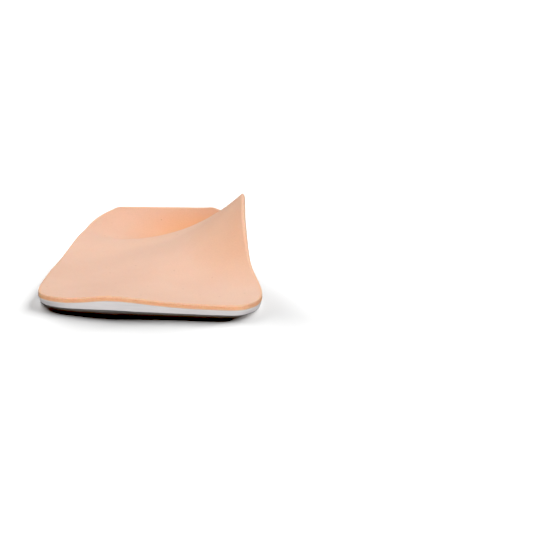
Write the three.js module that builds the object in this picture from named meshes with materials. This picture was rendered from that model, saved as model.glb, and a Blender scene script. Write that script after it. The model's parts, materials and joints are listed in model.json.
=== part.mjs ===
// Orthopaedic insole for a right foot, three-quarter length: a white shell under a skin-coloured foam cover.
// Millimetres, +Z up, +Y from the toe end to the heel, +X to the inner (arch) side of the foot.
// The origin is in the middle of the footprint, on the surface that the insole rests on.
import * as THREE from "three";

// Sizes of the whole insole
const LENGTH = 187.5; // furthest point of the toe-end edge to the back of the heel
const FOREFOOT_WIDTH = 90;
const HEEL_WIDTH = 69; // across the middle of the heel cup
const HEEL_LENGTH = 38; // middle of the heel cup to its back
const CORNER_ACROSS = 12; // the two rounded corners of the toe end, measured across the foot
const OUTER_CORNER = 12.5; // and along it
const INNER_CORNER = 31;
const DISTAL_SWEEP = 19.5; // how far the toe end falls back from its inner to its outer corner
const HEEL_ROUNDNESS = 0.9; // of the heel's outline: 1 is a full ellipse, less is squarer at its corners

// Heights of the moulded face, each above the floor of the moulding
const ARCH_RISE = 29.9; // inner flange at its highest
const HEEL_CUP_RISE = 15.2; // outer wall of the heel cup
const HEEL_BACK_RISE = 11.95; // rim at the very back of the heel
const DOME_RISE = 1.9; // low dome behind the balls of the toes

// Sheet thicknesses and edges
const COVER_THICKNESS = 1.8;
const SHELL_THICKNESS = 4;
const BOND_GAP = 0.3; // glue line between the cover and the shell
const UNDERCUT = 0.7; // how far the shell's lower edge is ground in from its upper edge
const GRIND_BLEND = 0.5; // depth over which the ground flat runs out into the curved underside

// Places of the moulded forms
const DOME_ACROSS = -0.37; // middle of the dome: -1 is the outer side of the foot, 1 the inner side
const DOME_SPREAD_OUTER = 0.24; // how fast it falls away to each side, on the same scale
const DOME_SPREAD_INNER = 0.42;
const DOME_REACH = 0.45; // share of the length at which it has run out
const SWEEP_REACH = 0.5; // share of the length at which the sections stand square again
const SWEEP_CURVE = 1.25;
const BOWL_CURVE = 3; // steepness of the heel cup's walls
const RIM_TURN = 1.5; // how long the cup's rim keeps the height of its sides before it drops to the back's
const OUTER_CURVE = 6; // steepness of the low outer lip

// Cross-sections from the toe end to the back of the heel.
// at: share of LENGTH. toHeel: 0 takes the forefoot's width and 1 the heel's. outer, inner: where the sides
// lie, as shares of that width. lip: outer rim, as a share of HEEL_CUP_RISE. flange: inner rim, as a share of
// ARCH_RISE. floor: lowest height of the moulded face, as a share of SHELL_THICKNESS. curve: steepness of the
// inner slope. bowl: share of the heel cup's round form in the section.
const SECTION_COLUMNS = ["at", "toHeel", "outer", "inner", "lip", "flange", "floor", "curve", "bowl"];
const SECTIONS = [
  [0.0, 0.00, 0.471, 0.511, 0.00, 0.00, 0.54, 5.00, 0.00],
  [0.1, 0.00, 0.489, 0.512, 0.00, 0.00, 0.55, 5.00, 0.00],
  [0.2, 0.00, 0.516, 0.501, 0.00, 0.05, 0.57, 4.20, 0.00],
  [0.3, 0.10, 0.527, 0.465, 0.01, 0.29, 0.60, 3.20, 0.00],
  [0.4, 0.25, 0.534, 0.455, 0.04, 0.77, 0.67, 2.85, 0.00],
  [0.5, 0.45, 0.540, 0.473, 0.06, 1.00, 0.80, 2.75, 0.00],
  [0.6, 0.65, 0.545, 0.490, 0.12, 0.91, 1.00, 2.70, 0.00],
  [0.7, 0.85, 0.539, 0.500, 0.20, 0.70, 1.44, 2.30, 0.25],
  [0.8, 1.00, 0.530, 0.485, 0.53, 0.52, 0.70, 2.60, 1.00],
  [0.9, 1.00, 0.481, 0.458, 0.88, 0.49, 0.65, 3.00, 1.00],
  [1.0, 1.00, 0.467, 0.449, 1.20, 0.53, 0.65, 3.00, 1.00],
];

// Mesh fineness
const ROWS = 44; // along the length
const HEEL_ROWS = 11; // those of them that are behind the middle of the heel cup
const COLUMNS = 22; // across the width
const SLOPE_STEP = 0.05; // distance over which a slope is measured

const HEEL_MIDDLE = LENGTH - HEEL_LENGTH;

const sectionCurve = new THREE.CubicInterpolant(
  SECTIONS.map((row) => row[0]),
  SECTIONS.flat(),
  SECTION_COLUMNS.length,
);

// The section at a distance along the insole, with its sides and rims in millimetres.
function sectionAt(along) {
  const values = sectionCurve.evaluate(THREE.MathUtils.clamp(along / LENGTH, 0, 1));
  const share = Object.fromEntries(SECTION_COLUMNS.map((name, i) => [name, values[i]]));
  const width = THREE.MathUtils.lerp(FOREFOOT_WIDTH, HEEL_WIDTH, share.toHeel);
  return {
    outerSide: -width * share.outer,
    innerSide: width * share.inner,
    lip: HEEL_CUP_RISE * share.lip,
    flange: ARCH_RISE * share.flange,
    floor: SHELL_THICKNESS * share.floor,
    curve: share.curve,
    bowl: share.bowl,
  };
}

// Squeezes a square's corner into a rounded one, with the square's middle lines left alone. A roundness of 1
// makes it a quarter circle.
function roundCorner(p, q, roundness) {
  return [p * Math.sqrt(1 - (roundness * q * q) / 2), q * Math.sqrt(1 - (roundness * p * p) / 2)];
}

// The exponent of the superellipse that has its corner where roundCorner puts it.
const heelExponent = Math.log(2) / -Math.log(Math.sqrt(1 - HEEL_ROUNDNESS / 2));

// A point of the footprint. u runs from -1 on the outer side to 1 on the inner side, and v from 0 at the toe
// end to 1 at the back of the heel. inset draws the whole footprint in.
function footprintPoint(u, v, inset) {
  const heelFrom = 1 - HEEL_ROWS / ROWS;
  let across = u;
  let along = inset + ((HEEL_MIDDLE - inset) * v) / heelFrom;
  if (v > heelFrom) {
    const [side, back] = roundCorner(u, (v - heelFrom) / (1 - heelFrom), HEEL_ROUNDNESS);
    across = side;
    along = HEEL_MIDDLE + back * (HEEL_LENGTH - inset);
  }
  const half = FOREFOOT_WIDTH / 2 - inset;
  const cornerAcross = CORNER_ACROSS - inset;
  const cornerAlong = (across < 0 ? OUTER_CORNER : INNER_CORNER) - inset;
  const sideways = 1 - ((1 - Math.abs(across)) * half) / cornerAcross;
  const forwards = 1 - (along - inset) / cornerAlong;
  if (sideways > 0 && forwards > 0) {
    const [p, q] = roundCorner(sideways, forwards, 1);
    across = Math.sign(across) * (1 - ((1 - p) * cornerAcross) / half);
    along = inset + (1 - q) * cornerAlong;
  }
  const squareAgain = 1 - THREE.MathUtils.smoothstep(along, 0, LENGTH * SWEEP_REACH);
  along += DISTAL_SWEEP * ((1 - across) / 2) ** SWEEP_CURVE * squareAgain;
  const { outerSide, innerSide } = sectionAt(along);
  const middle = (outerSide + innerSide) / 2;
  return { x: middle + across * ((innerSide - outerSide) / 2 - inset), along };
}

// Height of the moulded face, on which the cover is glued to the shell.
function mouldedHeight(x, along) {
  const s = sectionAt(along);
  const middle = (s.outerSide + s.innerSide) / 2;
  const across = (x - middle) / ((s.innerSide - s.outerSide) / 2);
  const inwards = THREE.MathUtils.clamp((1 + across) / 2, 0, 1);

  const archSlope = s.flange * inwards ** s.curve + s.lip * (1 - inwards) ** OUTER_CURVE;

  const back = Math.max(0, (along - HEEL_MIDDLE) / HEEL_LENGTH);
  const sideways = Math.abs(across);
  const towardsBack = back ** RIM_TURN / (back ** RIM_TURN + sideways ** RIM_TURN || 1);
  const rim = THREE.MathUtils.lerp(across < 0 ? s.lip : s.flange, HEEL_BACK_RISE, towardsBack);
  const fromMiddle = (sideways ** heelExponent + back ** heelExponent) ** (1 / heelExponent);
  const heelBowl = rim * fromMiddle ** BOWL_CURVE;

  const spread = across < DOME_ACROSS ? DOME_SPREAD_OUTER : DOME_SPREAD_INNER;
  const domeAcross = Math.exp(-(((across - DOME_ACROSS) / spread) ** 2));
  const dome = DOME_RISE * domeAcross * (1 - THREE.MathUtils.smoothstep(along, 0, LENGTH * DOME_REACH));

  return s.floor + THREE.MathUtils.lerp(archSlope, heelBowl, s.bowl) + dome;
}

// Direction straight out of the moulded face.
function mouldedNormal(x, along) {
  const climbX = mouldedHeight(x + SLOPE_STEP, along) - mouldedHeight(x - SLOPE_STEP, along);
  const climbY = mouldedHeight(x, along + SLOPE_STEP) - mouldedHeight(x, along - SLOPE_STEP);
  return new THREE.Vector3(-climbX, -climbY, 2 * SLOPE_STEP).normalize();
}

// A point that stands off the moulded face by a distance along its normal.
function offFace(u, v, distance) {
  const { x, along } = footprintPoint(u, v, 0);
  const face = new THREE.Vector3(x, along, mouldedHeight(x, along));
  return face.addScaledVector(mouldedNormal(x, along), distance);
}

// The shell's underside: its full thickness below the moulded face, and ground flat where that would pass
// the surface that the insole rests on.
function underside(u, v) {
  const { x, along } = footprintPoint(u, v, UNDERCUT);
  const height = mouldedHeight(x, along) - SHELL_THICKNESS / mouldedNormal(x, along).z;
  let ground = Math.max(height, 0);
  if (Math.abs(height) < GRIND_BLEND) ground = (height + GRIND_BLEND) ** 2 / (4 * GRIND_BLEND);
  return new THREE.Vector3(x, along, ground);
}

// A closed sheet between two faces, each a function of u and v, with a plain cut edge all round.
function sheetGeometry(upperFace, lowerFace) {
  const positions = [];
  const indices = [];
  const stride = COLUMNS + 1;
  for (const face of [upperFace, lowerFace]) {
    for (let row = 0; row <= ROWS; row++) {
      for (let column = 0; column <= COLUMNS; column++) {
        positions.push(...face((2 * column) / COLUMNS - 1, row / ROWS));
      }
    }
  }
  const quad = (a, b, c, d) => indices.push(a, b, c, a, c, d);
  const lower = (ROWS + 1) * stride;
  for (let row = 0; row < ROWS; row++) {
    for (let column = 0; column < COLUMNS; column++) {
      const first = row * stride + column;
      const ring = [first, first + 1, first + stride + 1, first + stride];
      // In two of the rounded corners a facet is split the other way, so that no sliver lies there.
      const turned = (column === COLUMNS - 1 && row === 0) || (column === 0 && row === ROWS - 1);
      if (turned) ring.push(ring.shift());
      const [a, b, c, d] = ring;
      quad(a, b, c, d);
      quad(lower + a, lower + d, lower + c, lower + b);
    }
  }
  const rim = [];
  for (let column = 0; column < COLUMNS; column++) rim.push(column);
  for (let row = 0; row < ROWS; row++) rim.push(row * stride + COLUMNS);
  for (let column = COLUMNS; column > 0; column--) rim.push(ROWS * stride + column);
  for (let row = ROWS; row > 0; row--) rim.push(row * stride);
  rim.forEach((here, i) => {
    const next = rim[(i + 1) % rim.length];
    quad(here, lower + here, lower + next, next);
  });
  const geometry = new THREE.BufferGeometry();
  geometry.setAttribute("position", new THREE.Float32BufferAttribute(positions, 3));
  geometry.setIndex(indices);
  geometry.computeVertexNormals();
  return geometry;
}

function namedMesh(name, geometry, color, roughness) {
  const mesh = new THREE.Mesh(geometry, new THREE.MeshStandardMaterial({ color, roughness, metalness: 0 }));
  mesh.name = name;
  return mesh;
}

const foamCover = namedMesh(
  "foam_cover",
  sheetGeometry(
    (u, v) => offFace(u, v, BOND_GAP + COVER_THICKNESS),
    (u, v) => offFace(u, v, BOND_GAP),
  ),
  0xefb48e,
  0.8,
);

const supportShell = namedMesh(
  "support_shell",
  sheetGeometry((u, v) => offFace(u, v, 0), underside),
  0xf1f0ee,
  0.45,
);

const insole = new THREE.Group();
insole.name = "orthopaedic_insole";
insole.add(foamCover, supportShell);

// The origin goes to the middle of the footprint, at the level of the ground flats.
const box = new THREE.Box3().setFromObject(insole);
const boxMiddle = box.getCenter(new THREE.Vector3());
insole.position.set(-boxMiddle.x, -boxMiddle.y, -box.min.z);

export default insole;
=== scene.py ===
# %% [markdown]
# # An orthopaedic insole, from its frame to its finish
# The insole supports the arch and holds the heel of a right foot. It is made of two layers: a white shell,
# moulded to the foot and ground flush at its edge, and a thin cover of skin-coloured foam that is glued on
# top of it. The fixed frame brings both layers at their real size. Here each of them gets its true surface:
# the soft lip that grinding leaves on foam, the fine seam between the layers, the pores of the foam and the
# satin of the shell.

# %% The frame
import json
import math

import bpy
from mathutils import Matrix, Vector

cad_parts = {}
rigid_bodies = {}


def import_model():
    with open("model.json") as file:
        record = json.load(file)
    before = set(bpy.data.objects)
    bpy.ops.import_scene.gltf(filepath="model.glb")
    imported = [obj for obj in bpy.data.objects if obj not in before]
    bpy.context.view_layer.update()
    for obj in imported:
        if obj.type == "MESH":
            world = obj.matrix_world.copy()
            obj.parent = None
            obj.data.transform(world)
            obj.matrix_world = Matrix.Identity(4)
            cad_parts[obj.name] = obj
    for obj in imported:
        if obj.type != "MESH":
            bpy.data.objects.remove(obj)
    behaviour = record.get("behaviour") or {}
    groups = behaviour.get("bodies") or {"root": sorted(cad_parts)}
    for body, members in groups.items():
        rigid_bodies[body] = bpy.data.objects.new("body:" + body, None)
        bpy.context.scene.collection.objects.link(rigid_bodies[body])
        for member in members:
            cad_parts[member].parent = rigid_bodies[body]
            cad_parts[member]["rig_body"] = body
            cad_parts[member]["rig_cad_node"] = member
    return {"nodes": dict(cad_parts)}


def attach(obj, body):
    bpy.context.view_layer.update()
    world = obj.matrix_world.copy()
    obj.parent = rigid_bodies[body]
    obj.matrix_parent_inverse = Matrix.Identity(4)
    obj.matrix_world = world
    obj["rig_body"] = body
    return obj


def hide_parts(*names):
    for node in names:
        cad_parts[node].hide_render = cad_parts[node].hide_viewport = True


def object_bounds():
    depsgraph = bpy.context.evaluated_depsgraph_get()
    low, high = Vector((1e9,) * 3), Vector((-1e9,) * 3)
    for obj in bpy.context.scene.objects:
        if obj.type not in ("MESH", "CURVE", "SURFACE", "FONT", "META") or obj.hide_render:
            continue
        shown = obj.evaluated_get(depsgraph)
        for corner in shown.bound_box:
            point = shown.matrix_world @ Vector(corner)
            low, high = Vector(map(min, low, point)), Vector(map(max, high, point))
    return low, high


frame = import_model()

cad_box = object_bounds()
low, high = (Vector(corner) for corner in cad_box)
print("frame:", sorted(frame["nodes"]), "size in mm:", [round(1000 * s, 1) for s in high - low])

# %% [markdown]
# ## The camera
# The photograph was taken from the toe end, a little above the table. The right-foot insole stands at the
# left of the picture, so the lens looks past its inner side. The distance follows from how fast the insole
# narrows towards the heel, and the focal length then from how large it stands in the picture. The camera is
# a plain one, with no shift and no depth of field, so that it can also be moved round the insole.

# %% Camera
PICTURE = 540  # side of the square picture, in pixels
FOCAL_PIXELS = 2118  # focal length, measured in pixels of that picture
CAMERA_SIDE = 0.04925  # the lens stands this far to the inner side of the insole's middle line
CAMERA_DISTANCE = 0.820  # from the lens to the toe end, along the table
CAMERA_HEIGHT = 0.167
CAMERA_PITCH = math.radians(10.26)  # how far it looks down

bpy.ops.object.select_all(action="DESELECT")
bpy.ops.object.camera_add(
    location=(CAMERA_SIDE, low.y - CAMERA_DISTANCE, CAMERA_HEIGHT),
    rotation=(math.pi / 2 - CAMERA_PITCH, 0, 0),
)
camera = bpy.context.object
camera.name = "photo_camera"
camera.data.lens = FOCAL_PIXELS * camera.data.sensor_width / PICTURE
camera.data.clip_start = 0.01
camera.data.clip_end = 50
bpy.context.scene.camera = camera
print("lens:", round(camera.data.lens, 1), "mm")

# %% [markdown]
# ## How a layer is picked up
# Each layer of the frame is a closed sheet of triangles. A piece starts as a copy of its layer. Its loose
# triangles are merged at their corners, and pairs of them are joined back into the four-sided faces that
# run along and across the foot. Only then can a bevel follow the rim and can subdivision round the form.
# The ground edge is a band of faces between two sharp loops. Marking those loops as seams lets one click on
# the band select all of it, whichever way it leans along the arch.

# %% Helpers for picking up a layer
MERGE_DISTANCE = 1e-6
PAIRING = 1.5  # how strongly triangles are paired into a regular grid
SHARP = math.radians(30)  # an edge that bends more than this belongs to the rim
MILLIMETRE = 0.001


def only(piece):
    """Makes a piece the single selected and active object."""
    if bpy.context.object and bpy.context.object.mode != "OBJECT":
        bpy.ops.object.mode_set(mode="OBJECT")
    bpy.ops.object.select_all(action="DESELECT")
    piece.select_set(True)
    bpy.context.view_layer.objects.active = piece


def copy_of_layer(node_name, piece_name):
    """A copy of a layer of the frame, merged, with four-sided faces and its rim loops marked as seams."""
    only(frame["nodes"][node_name])
    bpy.ops.object.duplicate()
    piece = bpy.context.object
    piece.name = piece.data.name = piece_name
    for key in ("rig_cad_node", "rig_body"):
        del piece[key]
    bpy.ops.object.parent_clear(type="CLEAR_KEEP_TRANSFORM")
    piece.data.materials.clear()
    bpy.ops.object.mode_set(mode="EDIT")
    bpy.ops.mesh.select_all(action="SELECT")
    bpy.ops.mesh.remove_doubles(threshold=MERGE_DISTANCE)
    bpy.ops.mesh.tris_convert_to_quads(
        face_threshold=SHARP, shape_threshold=math.pi, topology_influence=PAIRING
    )
    bpy.ops.mesh.select_mode(type="EDGE")
    bpy.ops.mesh.select_all(action="DESELECT")
    bpy.ops.mesh.edges_select_sharp(sharpness=SHARP)
    bpy.ops.mesh.mark_seam()
    bpy.ops.object.mode_set(mode="OBJECT")
    sides = [len(face.vertices) for face in piece.data.polygons]
    print(piece_name, "faces:", len(sides), "of them triangles:", sides.count(3))
    return piece


def select_region(piece, towards):
    """Selects, in edit mode, the band or sheet that holds the face which looks most towards a direction."""
    only(piece)
    bpy.ops.object.mode_set(mode="EDIT")
    bpy.ops.mesh.select_mode(type="FACE")
    bpy.ops.mesh.select_all(action="DESELECT")
    bpy.ops.object.mode_set(mode="OBJECT")
    faces = piece.data.polygons
    max(faces, key=lambda face: face.normal.dot(Vector(towards))).select = True
    bpy.ops.object.mode_set(mode="EDIT")
    bpy.ops.mesh.select_linked(delimit={"SEAM"})


TOE_END, UP, DOWN = (0, -1, 0), (0, 0, 1), (0, 0, -1)
print("rim edges bend more than", round(math.degrees(SHARP)), "degrees")

# %% [markdown]
# ## The foam cover
# On the real insole this is a sheet of closed-cell foam, about two millimetres thick. It is glued down, and
# then its edge is ground together with the shell's. It could be grown from a plane that is pressed onto the
# form, but the layer of the frame already has that form, so its copy is used. The lower skin is fattened
# down until it meets the shell, which closes the glue gap of the frame. Grinding leaves the upper lip soft:
# crisp at the toe end, where the edge is cut square, and rounder the higher it stands on the arch and round
# the heel. A Bevel modifier follows a weight on each edge of the lip, and that weight is worked out from
# the edge's height. Ground foam looks different from its moulded skin, so the cut band has a material slot
# of its own. The lip is both a little, so the narrow faces that the bevel makes get a third slot.

# %% Helpers for rims
WIDEST_ROUND = 1.0 * MILLIMETRE  # the round of a rim whose weight is 1
BEVEL_STEPS = 3
ROUNDS = 2  # how often subdivision splits each face


def soften_rim(piece, towards, low_radius, high_radius):
    """Weighs the edges of the loop round a sheet, from one radius at its lowest to another at its top."""
    select_region(piece, towards)
    bpy.ops.mesh.region_to_loop()
    bpy.ops.object.mode_set(mode="OBJECT")
    weights = piece.data.attributes.get("bevel_weight_edge")
    weights = weights or piece.data.attributes.new("bevel_weight_edge", "FLOAT", "EDGE")
    loop = [edge for edge in piece.data.edges if edge.select]
    heights = [sum(piece.data.vertices[end].co.z for end in edge.vertices) / 2 for edge in loop]
    bottom, top = min(heights), max(heights)
    for edge, height in zip(loop, heights):
        share = math.sqrt((height - bottom) / (top - bottom))
        weights.data[edge.index].value = (low_radius + (high_radius - low_radius) * share) / WIDEST_ROUND
    print(piece.name, "rim edges softened:", len(loop))


def add_rounding(piece, lip_slot):
    """The bevel that follows the weights, and the subdivision that rounds the whole form."""
    bevel = piece.modifiers.new("soft_rims", "BEVEL")
    bevel.limit_method, bevel.width, bevel.segments = "WEIGHT", WIDEST_ROUND, BEVEL_STEPS
    bevel.material = lip_slot
    rounding = piece.modifiers.new("rounding", "SUBSURF")
    rounding.levels = rounding.render_levels = ROUNDS


print("widest round of a rim:", WIDEST_ROUND / MILLIMETRE, "mm")

# %% Helper for material slots
GROUND_EDGE, LIP = 1, 2  # slots of a layer; its moulded skin has the first one, 0


def give_finishes(piece, moulded, ground, *others):
    """Puts one material on a layer's sheets and another on its ground band. Others wait in their slots."""
    for material in (moulded, ground, *others):
        piece.data.materials.append(material)
    select_region(piece, TOE_END)
    piece.active_material_index = GROUND_EDGE
    bpy.ops.object.material_slot_assign()
    bpy.ops.object.mode_set(mode="OBJECT")
    band = sum(face.material_index == GROUND_EDGE for face in piece.data.polygons)
    print(piece.name, "faces on the ground band:", band)


print("slots: moulded skin 0, ground edge", GROUND_EDGE, "and lip", LIP)

# %% Foam cover
GLUE_GAP = 0.3 * MILLIMETRE
SEAM_DEPTH = 0.02 * MILLIMETRE  # what is left between the layers, so that they don't share faces

foam_skin = bpy.data.materials.new("foam_skin")
cut_foam = bpy.data.materials.new("cut_foam")
foam_lip = bpy.data.materials.new("foam_lip")
cover = copy_of_layer("foam_cover", "insole_cover")
give_finishes(cover, foam_skin, cut_foam, foam_lip)
select_region(cover, DOWN)
bpy.ops.transform.shrink_fatten(value=GLUE_GAP - SEAM_DEPTH, use_even_offset=True)
bpy.ops.object.mode_set(mode="OBJECT")
soften_rim(cover, UP, 0.25 * MILLIMETRE, 0.8 * MILLIMETRE)
soften_rim(cover, DOWN, 0.1 * MILLIMETRE, 0.15 * MILLIMETRE)
add_rounding(cover, LIP)

# %% [markdown]
# ## The support shell
# The shell gives the insole its stiffness. It is moulded in one piece: a tray under the forefoot, the
# raised arch along the inner side and a cup round the heel, ground flat where it stands in the shoe. Its
# copy from the frame is treated in the same way, with a smaller round on both rims, because a grinding
# wheel leaves hard plastic crisper. Its rounds belong to the ground edge, and so they share that edge's
# slot.

# %% Support shell
shell_face = bpy.data.materials.new("moulded_shell")
shell_edge = bpy.data.materials.new("ground_shell")
shell = copy_of_layer("support_shell", "insole_shell")
give_finishes(shell, shell_face, shell_edge)
soften_rim(shell, UP, 0.1 * MILLIMETRE, 0.15 * MILLIMETRE)
soften_rim(shell, DOWN, 0.15 * MILLIMETRE, 0.5 * MILLIMETRE)
add_rounding(shell, GROUND_EDGE)

# %% [markdown]
# ## Rounding the form
# Subdivision turns the four-sided faces into one flowing surface, and the narrow faces of the bevels hold
# the lips crisp. The foam then gets a very slight unevenness as real geometry, a tenth of a millimetre at
# most, because a soft sheet pressed over a form by hand is never as even as the form. All modifiers are
# applied, so the finished meshes are what is seen.

# %% Rounding
UNEVENNESS = 0.12 * MILLIMETRE
UNEVEN_PATCH = 11 * MILLIMETRE


def finish_form(piece):
    """Applies every modifier of a piece in its order and shades the piece smoothly."""
    only(piece)
    for modifier in list(piece.modifiers):
        bpy.ops.object.modifier_apply(modifier=modifier.name)
    bpy.ops.object.shade_smooth()
    print(piece.name, "faces:", len(piece.data.polygons))


dents = bpy.data.textures.new("hand_pressed_dents", "CLOUDS")
dents.noise_scale = UNEVEN_PATCH
unevenness = cover.modifiers.new("unevenness", "DISPLACE")
unevenness.texture = dents
unevenness.strength = UNEVENNESS
finish_form(cover)
finish_form(shell)

# %% [markdown]
# ## How a finish is written
# Every finish is procedural: its patterns read the piece's own object coordinates, so they keep their real
# size in metres and stay put from every side. One helper adds a node and fills in its inputs, with a number
# or with a link from another node's output. Another starts a material and hands over what every finish
# needs.

# %% Helpers for nodes


def add_node(tree, kind, inputs, **settings):
    """A new node with its settings made and each named or numbered input set or linked."""
    node = tree.nodes.new(kind)
    for name, value in settings.items():
        setattr(node, name, value)
    for socket, value in inputs.items():
        if isinstance(value, bpy.types.NodeSocket):
            tree.links.new(value, node.inputs[socket])
        else:
            node.inputs[socket].default_value = value
    return node


def start_finish(material):
    """The node tree of a material, its object coordinates and its shader."""
    material.use_nodes = True
    tree = material.node_tree
    place = add_node(tree, "ShaderNodeTexCoord", {}).outputs["Object"]
    return tree, place, tree.nodes["Principled BSDF"]


def set_shader(shader, **values):
    """Sets the shader's own sockets, written with underscores for spaces."""
    for name, value in values.items():
        shader.inputs[name.replace("_", " ")].default_value = value


print("finishes to write:", foam_skin.name, cut_foam.name, foam_lip.name, shell_face.name, shell_edge.name)

# %% Helpers for patterns
WHITE = (1, 1, 1)


def noise(tree, place, size, detail=3.0, roughness=0.5):
    """A noise whose patches are about as large as a real size in metres. Gives its value."""
    inputs = {"Vector": place, "Scale": 1 / size, "Detail": detail, "Roughness": roughness}
    return add_node(tree, "ShaderNodeTexNoise", inputs).outputs["Fac"]


def cells(tree, place, size):
    """Closed cells about as large as a real size. Gives the distance from the middle of each cell."""
    inputs = {"Vector": place, "Scale": 1 / size, "Randomness": 1.0}
    return add_node(tree, "ShaderNodeTexVoronoi", inputs).outputs["Distance"]


def ramp(tree, value, first, last, blend="LINEAR"):
    """A colour ramp between two stops, each a value from 0 to 1 with its linear colour. Gives its colour."""
    node = add_node(tree, "ShaderNodeValToRGB", {"Fac": value})
    node.color_ramp.interpolation = blend
    for stop, (position, colour) in zip(node.color_ramp.elements, (first, last)):
        stop.position, stop.color = position, (*colour, 1)
    return node.outputs["Color"]


def patch(tree, place, centre, reach):
    """A soft patch in the piece's own space: 1 at its centre, fading to 0 at its reach along X, Y and Z."""
    inputs = {"Vector": place, "Location": centre, "Scale": reach}
    inside = add_node(tree, "ShaderNodeMapping", inputs, vector_type="TEXTURE").outputs["Vector"]
    inputs = {"Vector": inside}
    return add_node(tree, "ShaderNodeTexGradient", inputs, gradient_type="SPHERICAL").outputs["Fac"]


def along_edge(tree, place, share):
    """The place, squeezed sideways to a share, so that patterns on it run level along the ground edge."""
    inputs = {"Vector": place, "Scale": (share, share, 1.0)}
    return add_node(tree, "ShaderNodeMapping", inputs).outputs["Vector"]


def multiply(tree, first, second):
    """One colour multiplied by another."""
    inputs = {0: 1.0, 6: first, 7: second}  # the share, and the two colours of a Mix node
    return add_node(tree, "ShaderNodeMix", inputs, data_type="RGBA", blend_type="MULTIPLY").outputs[2]


def bump(tree, height, depth, under=None):
    """A bump of a real depth in metres, laid over another bump if one is given. Gives its normal."""
    inputs = {"Height": height, "Distance": depth, "Strength": 1.0}
    if under:
        inputs["Normal"] = under
    return add_node(tree, "ShaderNodeBump", inputs).outputs["Normal"]


print("length that the patterns cover:", round(high.y - low.y, 3), "m")

# %% [markdown]
# ## The foam's moulded skin
# The cover is a skin-coloured foam with a dull, faintly peachy bloom. Light sinks a millimetre or so into
# it, which softens its shadows and warms its thin edges, so the shader gets some subsurface scattering. Its
# colour drifts a little over a few centimetres, fine closed cells roughen the skin, and a few pinholes pass
# through it. In the hollows of the heel and the arch, foam that faces foam glows a deeper orange than in
# the open, from light bounced between its walls, more so than the shader gives by itself. Two soft patches
# paint this into the colour as painted shade, tinted deeper orange, each given by its centre and its reach.

# %% Foam skin
# The centre and the reach of the two patches of painted shade, a deeper orange in the hollows.
HEEL_PAINTED_SHADE = (0.024, high.y - 0.024, 0.003), (0.054, 0.072, 0.019)
ARCH_PAINTED_SHADE = (high.x - 0.008, 0.0, 0.018), (0.032, 0.075, 0.030)

tree, place, shader = start_finish(foam_skin)
drift = noise(tree, place, 30 * MILLIMETRE, detail=4.0)
tone = ramp(tree, drift, (0.35, (0.82, 0.515, 0.382)), (0.65, (0.855, 0.549, 0.411)))
grain = noise(tree, place, 0.35 * MILLIMETRE, detail=2.0)
speckle = ramp(tree, grain, (0.30, (0.93, 0.92, 0.91)), (0.62, WHITE))
pinholes = ramp(tree, cells(tree, place, 7 * MILLIMETRE), (0.035, (0.74, 0.66, 0.61)), (0.065, WHITE))
colour = multiply(tree, multiply(tree, tone, speckle), pinholes)
# Painted shade: the heel hollow and the arch are darkened towards a deeper orange, as bounced light tints
# them.
heel = patch(tree, place, *HEEL_PAINTED_SHADE)
arch = patch(tree, place, *ARCH_PAINTED_SHADE)
colour = multiply(tree, colour, ramp(tree, heel, (0, WHITE), (0.72, (1.0, 0.76, 0.54)), blend="EASE"))
colour = multiply(tree, colour, ramp(tree, arch, (0, WHITE), (0.62, (0.965, 0.915, 0.85)), blend="EASE"))
tree.links.new(colour, shader.inputs["Base Color"])
wear = noise(tree, place, 18 * MILLIMETRE)
gloss = add_node(tree, "ShaderNodeMapRange", {"Value": wear, "To Min": 0.68, "To Max": 0.84})
tree.links.new(gloss.outputs["Result"], shader.inputs["Roughness"])
soft = bump(tree, noise(tree, place, 2.5 * MILLIMETRE), 0.05 * MILLIMETRE)
tree.links.new(bump(tree, grain, 0.02 * MILLIMETRE, soft), shader.inputs["Normal"])
set_shader(
    shader,
    Subsurface_Weight=0.35,
    Subsurface_Radius=(1.0, 0.45, 0.25),
    Subsurface_Scale=1.1 * MILLIMETRE,
    Specular_IOR_Level=0.2,
    Sheen_Weight=0.06,
    Sheen_Roughness=0.6,
)
print("finish:", foam_skin.name, "nodes:", len(tree.nodes))

# %% [markdown]
# ## The foam's ground edge
# Grinding opens the cells, so the edge is rougher and traps light, and it looks deeper and more orange than
# the skin. That deeper orange is partly the open cells and partly a painted glow of the light that passes
# through the thin foam and leaves at its edge. Faint scratches run along it, level with the floor, and so
# their noise is stretched sideways. Higher up, on the arch and round the heel, the band is painted nearly as
# light as the skin: a painted highlight where the rim faces up into the light. The height above the floor
# blends the two tones. The lip is written by the same function, in tones between the cut and the skin.

# %% Cut foam
# Painted highlight: between these heights above the floor the ground band is blended to a lighter tone.
PAINTED_HIGHLIGHT_FROM, PAINTED_HIGHLIGHT_FULLY = 6 * MILLIMETRE, 10 * MILLIMETRE  # heights above the floor
PAINTED_HIGHLIGHT_TONE = (0.88, 0.57, 0.41, 1)
SCRATCH_SHAPE = 0.12  # a scratch is this share as tall as it is long


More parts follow.
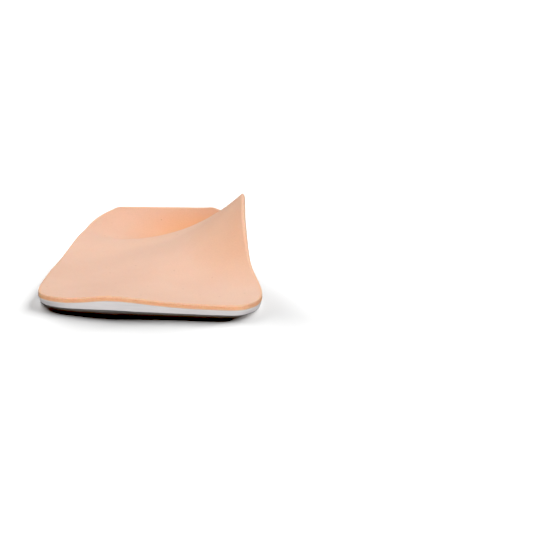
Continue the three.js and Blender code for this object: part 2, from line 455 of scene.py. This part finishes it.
def ground_foam(material, dark, light):
    """Foam opened by grinding, between two tones, painted lighter high on the arch and heel as a highlight.
    """
    tree, place, shader = start_finish(material)
    scratches = noise(tree, along_edge(tree, place, SCRATCH_SHAPE), 0.5 * MILLIMETRE, roughness=0.6)
    tone = ramp(tree, scratches, (0.30, dark), (0.70, light))
    # Painted highlight: the higher the band stands, the nearer its colour comes to the lighter tone.
    height = add_node(tree, "ShaderNodeSeparateXYZ", {"Vector": place}).outputs["Z"]
    limits = {"Value": height, "From Min": PAINTED_HIGHLIGHT_FROM, "From Max": PAINTED_HIGHLIGHT_FULLY}
    painted_highlight = add_node(tree, "ShaderNodeMapRange", limits).outputs["Result"]
    between = {0: painted_highlight, 6: tone, 7: PAINTED_HIGHLIGHT_TONE}
    tone = add_node(tree, "ShaderNodeMix", between, data_type="RGBA").outputs[2]
    open_cells = cells(tree, place, 0.45 * MILLIMETRE)
    pits = ramp(tree, open_cells, (0.08, (0.78, 0.68, 0.62)), (0.38, WHITE))
    tree.links.new(multiply(tree, tone, pits), shader.inputs["Base Color"])
    rough = bump(tree, scratches, 0.05 * MILLIMETRE)
    tree.links.new(bump(tree, open_cells, 0.06 * MILLIMETRE, rough), shader.inputs["Normal"])
    set_shader(
        shader,
        Roughness=0.92,
        Subsurface_Weight=0.35,
        Subsurface_Radius=(1.0, 0.4, 0.2),
        Subsurface_Scale=0.9 * MILLIMETRE,
        Specular_IOR_Level=0.15,
    )
    print("finish:", material.name, "nodes:", len(tree.nodes))


# The cut band's deeper orange is partly its open cells and partly a painted glow of light through the foam.
ground_foam(cut_foam, (0.78, 0.41, 0.245), (0.87, 0.51, 0.325))
ground_foam(foam_lip, (0.83, 0.51, 0.35), (0.88, 0.56, 0.39))

# %% [markdown]
# ## The shell
# The moulded plastic is white with a satin face. Its ground edge is duller, a little greyer, and shows fine
# level streaks from the wheel with traces of dust in them. Both are written by one function with different
# values.

# %% Shell plastic


def shell_finish(material, light, dark, roughness, streak, streak_depth):
    """White plastic whose streaks are a given share as tall as they are long."""
    tree, place, shader = start_finish(material)
    streaks = noise(tree, along_edge(tree, place, streak), 0.9 * MILLIMETRE, detail=4.0, roughness=0.6)
    tone = ramp(tree, streaks, (0.30, dark), (0.68, light))
    haze = ramp(tree, noise(tree, place, 22 * MILLIMETRE), (0.35, (0.95, 0.95, 0.95)), (0.62, WHITE))
    tree.links.new(multiply(tree, tone, haze), shader.inputs["Base Color"])
    polish = add_node(
        tree, "ShaderNodeMapRange", {"Value": streaks, "To Min": roughness - 0.08, "To Max": roughness + 0.08}
    )
    tree.links.new(polish.outputs["Result"], shader.inputs["Roughness"])
    grain = bump(tree, noise(tree, place, 0.3 * MILLIMETRE), 0.006 * MILLIMETRE)
    tree.links.new(bump(tree, streaks, streak_depth, grain), shader.inputs["Normal"])
    set_shader(
        shader,
        Subsurface_Weight=0.15,
        Subsurface_Radius=(1, 1, 1),
        Subsurface_Scale=0.8 * MILLIMETRE,
    )
    print("finish:", material.name, "nodes:", len(tree.nodes))


shell_finish(shell_face, (0.86, 0.855, 0.85), (0.83, 0.825, 0.82), 0.42, 1.0, 0.01 * MILLIMETRE)
shell_finish(shell_edge, (0.83, 0.80, 0.80), (0.75, 0.72, 0.72), 0.60, 0.05, 0.03 * MILLIMETRE)

# %% [markdown]
# ## Each piece in place of its layer
# Both pieces ride on the insole's single body, and each one takes the place of its layer of the frame,
# which is hidden. The cover is a soft piece of foam, full and even.

# %% Attaching the pieces
for piece, layer, slot in ((cover, "foam_cover", "cover_foam"), (shell, "support_shell", "shell_plastic")):
    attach(piece, "root")
    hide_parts(layer)
print("pieces:", cover.name, shell.name)

# %% [markdown]
# ## Floor and light
# The insole stands on a plain white table that fills the picture. In the photograph the table is burnt out
# to white, and yet the toe end throws a short, very dark shadow towards the camera. One lamp can't do both,
# so the light is split as a studio would flag it: low suns from behind fall on the table alone, and soft
# boxes behind, in front and at the arch light only the insole. Light linking keeps them apart. Three suns
# side by side give the shadow its soft outline, and the bright table still lights the insole's edges from
# below.

# %% Floor
FLOOR_SIZE = 14.0
FLOOR_GAP = 0.05 * MILLIMETRE  # keeps the ground flats off the table by less than a hair

bpy.ops.object.select_all(action="DESELECT")
bpy.ops.mesh.primitive_plane_add(size=FLOOR_SIZE, location=(0, 0, low.z - FLOOR_GAP))
floor = bpy.context.object
floor.name = "table"
bpy.ops.object.transform_apply(location=True, rotation=True, scale=True)
table_paint = bpy.data.materials.new("white_table")
floor.data.materials.append(table_paint)
tree, place, shader = start_finish(table_paint)
tone = ramp(tree, noise(tree, place, 0.4), (0.3, (0.49, 0.49, 0.49)), (0.7, (0.51, 0.51, 0.51)))
tree.links.new(tone, shader.inputs["Base Color"])
set_shader(shader, Roughness=0.9, Specular_IOR_Level=0.1)
print("table:", FLOOR_SIZE, "m wide")

# %% Helpers for lights
LIGHT_DISTANCE = 3.0


def aim(light, azimuth, elevation, receivers):
    """Places a light at an azimuth (0 is the toe end) and an elevation in degrees, for some objects alone."""
    turn, lift = math.radians(azimuth), math.radians(elevation)
    towards = Vector((math.sin(turn) * math.cos(lift), -math.cos(turn) * math.cos(lift), math.sin(lift)))
    light.location = LIGHT_DISTANCE * towards
    light.rotation_euler = towards.to_track_quat("Z", "Y").to_euler()
    light.visible_camera = False
    lit = bpy.data.collections.new(light.name + "_lights")
    for receiver in receivers:
        lit.objects.link(receiver)
    light.light_linking.receiver_collection = lit
    print("light:", light.name, round(light.data.energy, 1))


def softbox(name, azimuth, elevation, width, height, power):
    """A flat soft light that lights the insole alone."""
    bpy.ops.object.light_add(type="AREA")
    light = bpy.context.object
    light.name = name
    light.data.shape = "RECTANGLE"
    light.data.size, light.data.size_y = width, height
    light.data.energy = power
    aim(light, azimuth, elevation, (cover, shell))


def table_sun(name, azimuth, elevation, spread, strength):
    """A low soft sun that lights the table alone, so that the table is as bright everywhere."""
    bpy.ops.object.light_add(type="SUN")
    light = bpy.context.object
    light.name = name
    light.data.angle = math.radians(spread)
    light.data.energy = strength
    aim(light, azimuth, elevation, (floor,))


print("lights stand", LIGHT_DISTANCE, "m from the insole")

# %% Lights
table_sun("table_sun_right", 165, 14, 18, 10.6)
table_sun("table_sun_left", 195, 10, 18, 10.4)
table_sun("table_sun_small", 150, 10, 6, 4.8)
softbox("high_behind", 180, 50, 3.0, 1.0, 82)
softbox("front", 0, 30, 2.5, 0.8, 72)
softbox("low_front", 0, 7, 2.5, 0.4, 25)
softbox("arch_side", 100, 8, 2.5, 0.5, 14)

# %% Backdrop
studio = bpy.data.worlds.new("studio")
bpy.context.scene.world = studio
studio.use_nodes = True
backdrop = studio.node_tree.nodes["Background"]
seen = add_node(studio.node_tree, "ShaderNodeLightPath", {}).outputs["Is Camera Ray"]
studio.node_tree.links.new(seen, backdrop.inputs["Strength"])
backdrop.inputs["Color"].default_value = (*WHITE, 1)
print("backdrop: white for the camera alone")

# %% [markdown]
# ## How the picture is developed
# The photograph was printed with deep blacks: everything under about a twentieth of full light is black in
# it. The scene's own view settings do the same with a black level, and leave the colours as the shaders
# give them.

# %% View settings
BLACK_LEVEL = 0.05

view = bpy.context.scene.view_settings
view.view_transform = "Standard"
view.use_curve_mapping = True
view.curve_mapping.black_level = (BLACK_LEVEL, BLACK_LEVEL, BLACK_LEVEL)
view.curve_mapping.update()
print("view:", view.view_transform, "black level:", BLACK_LEVEL)
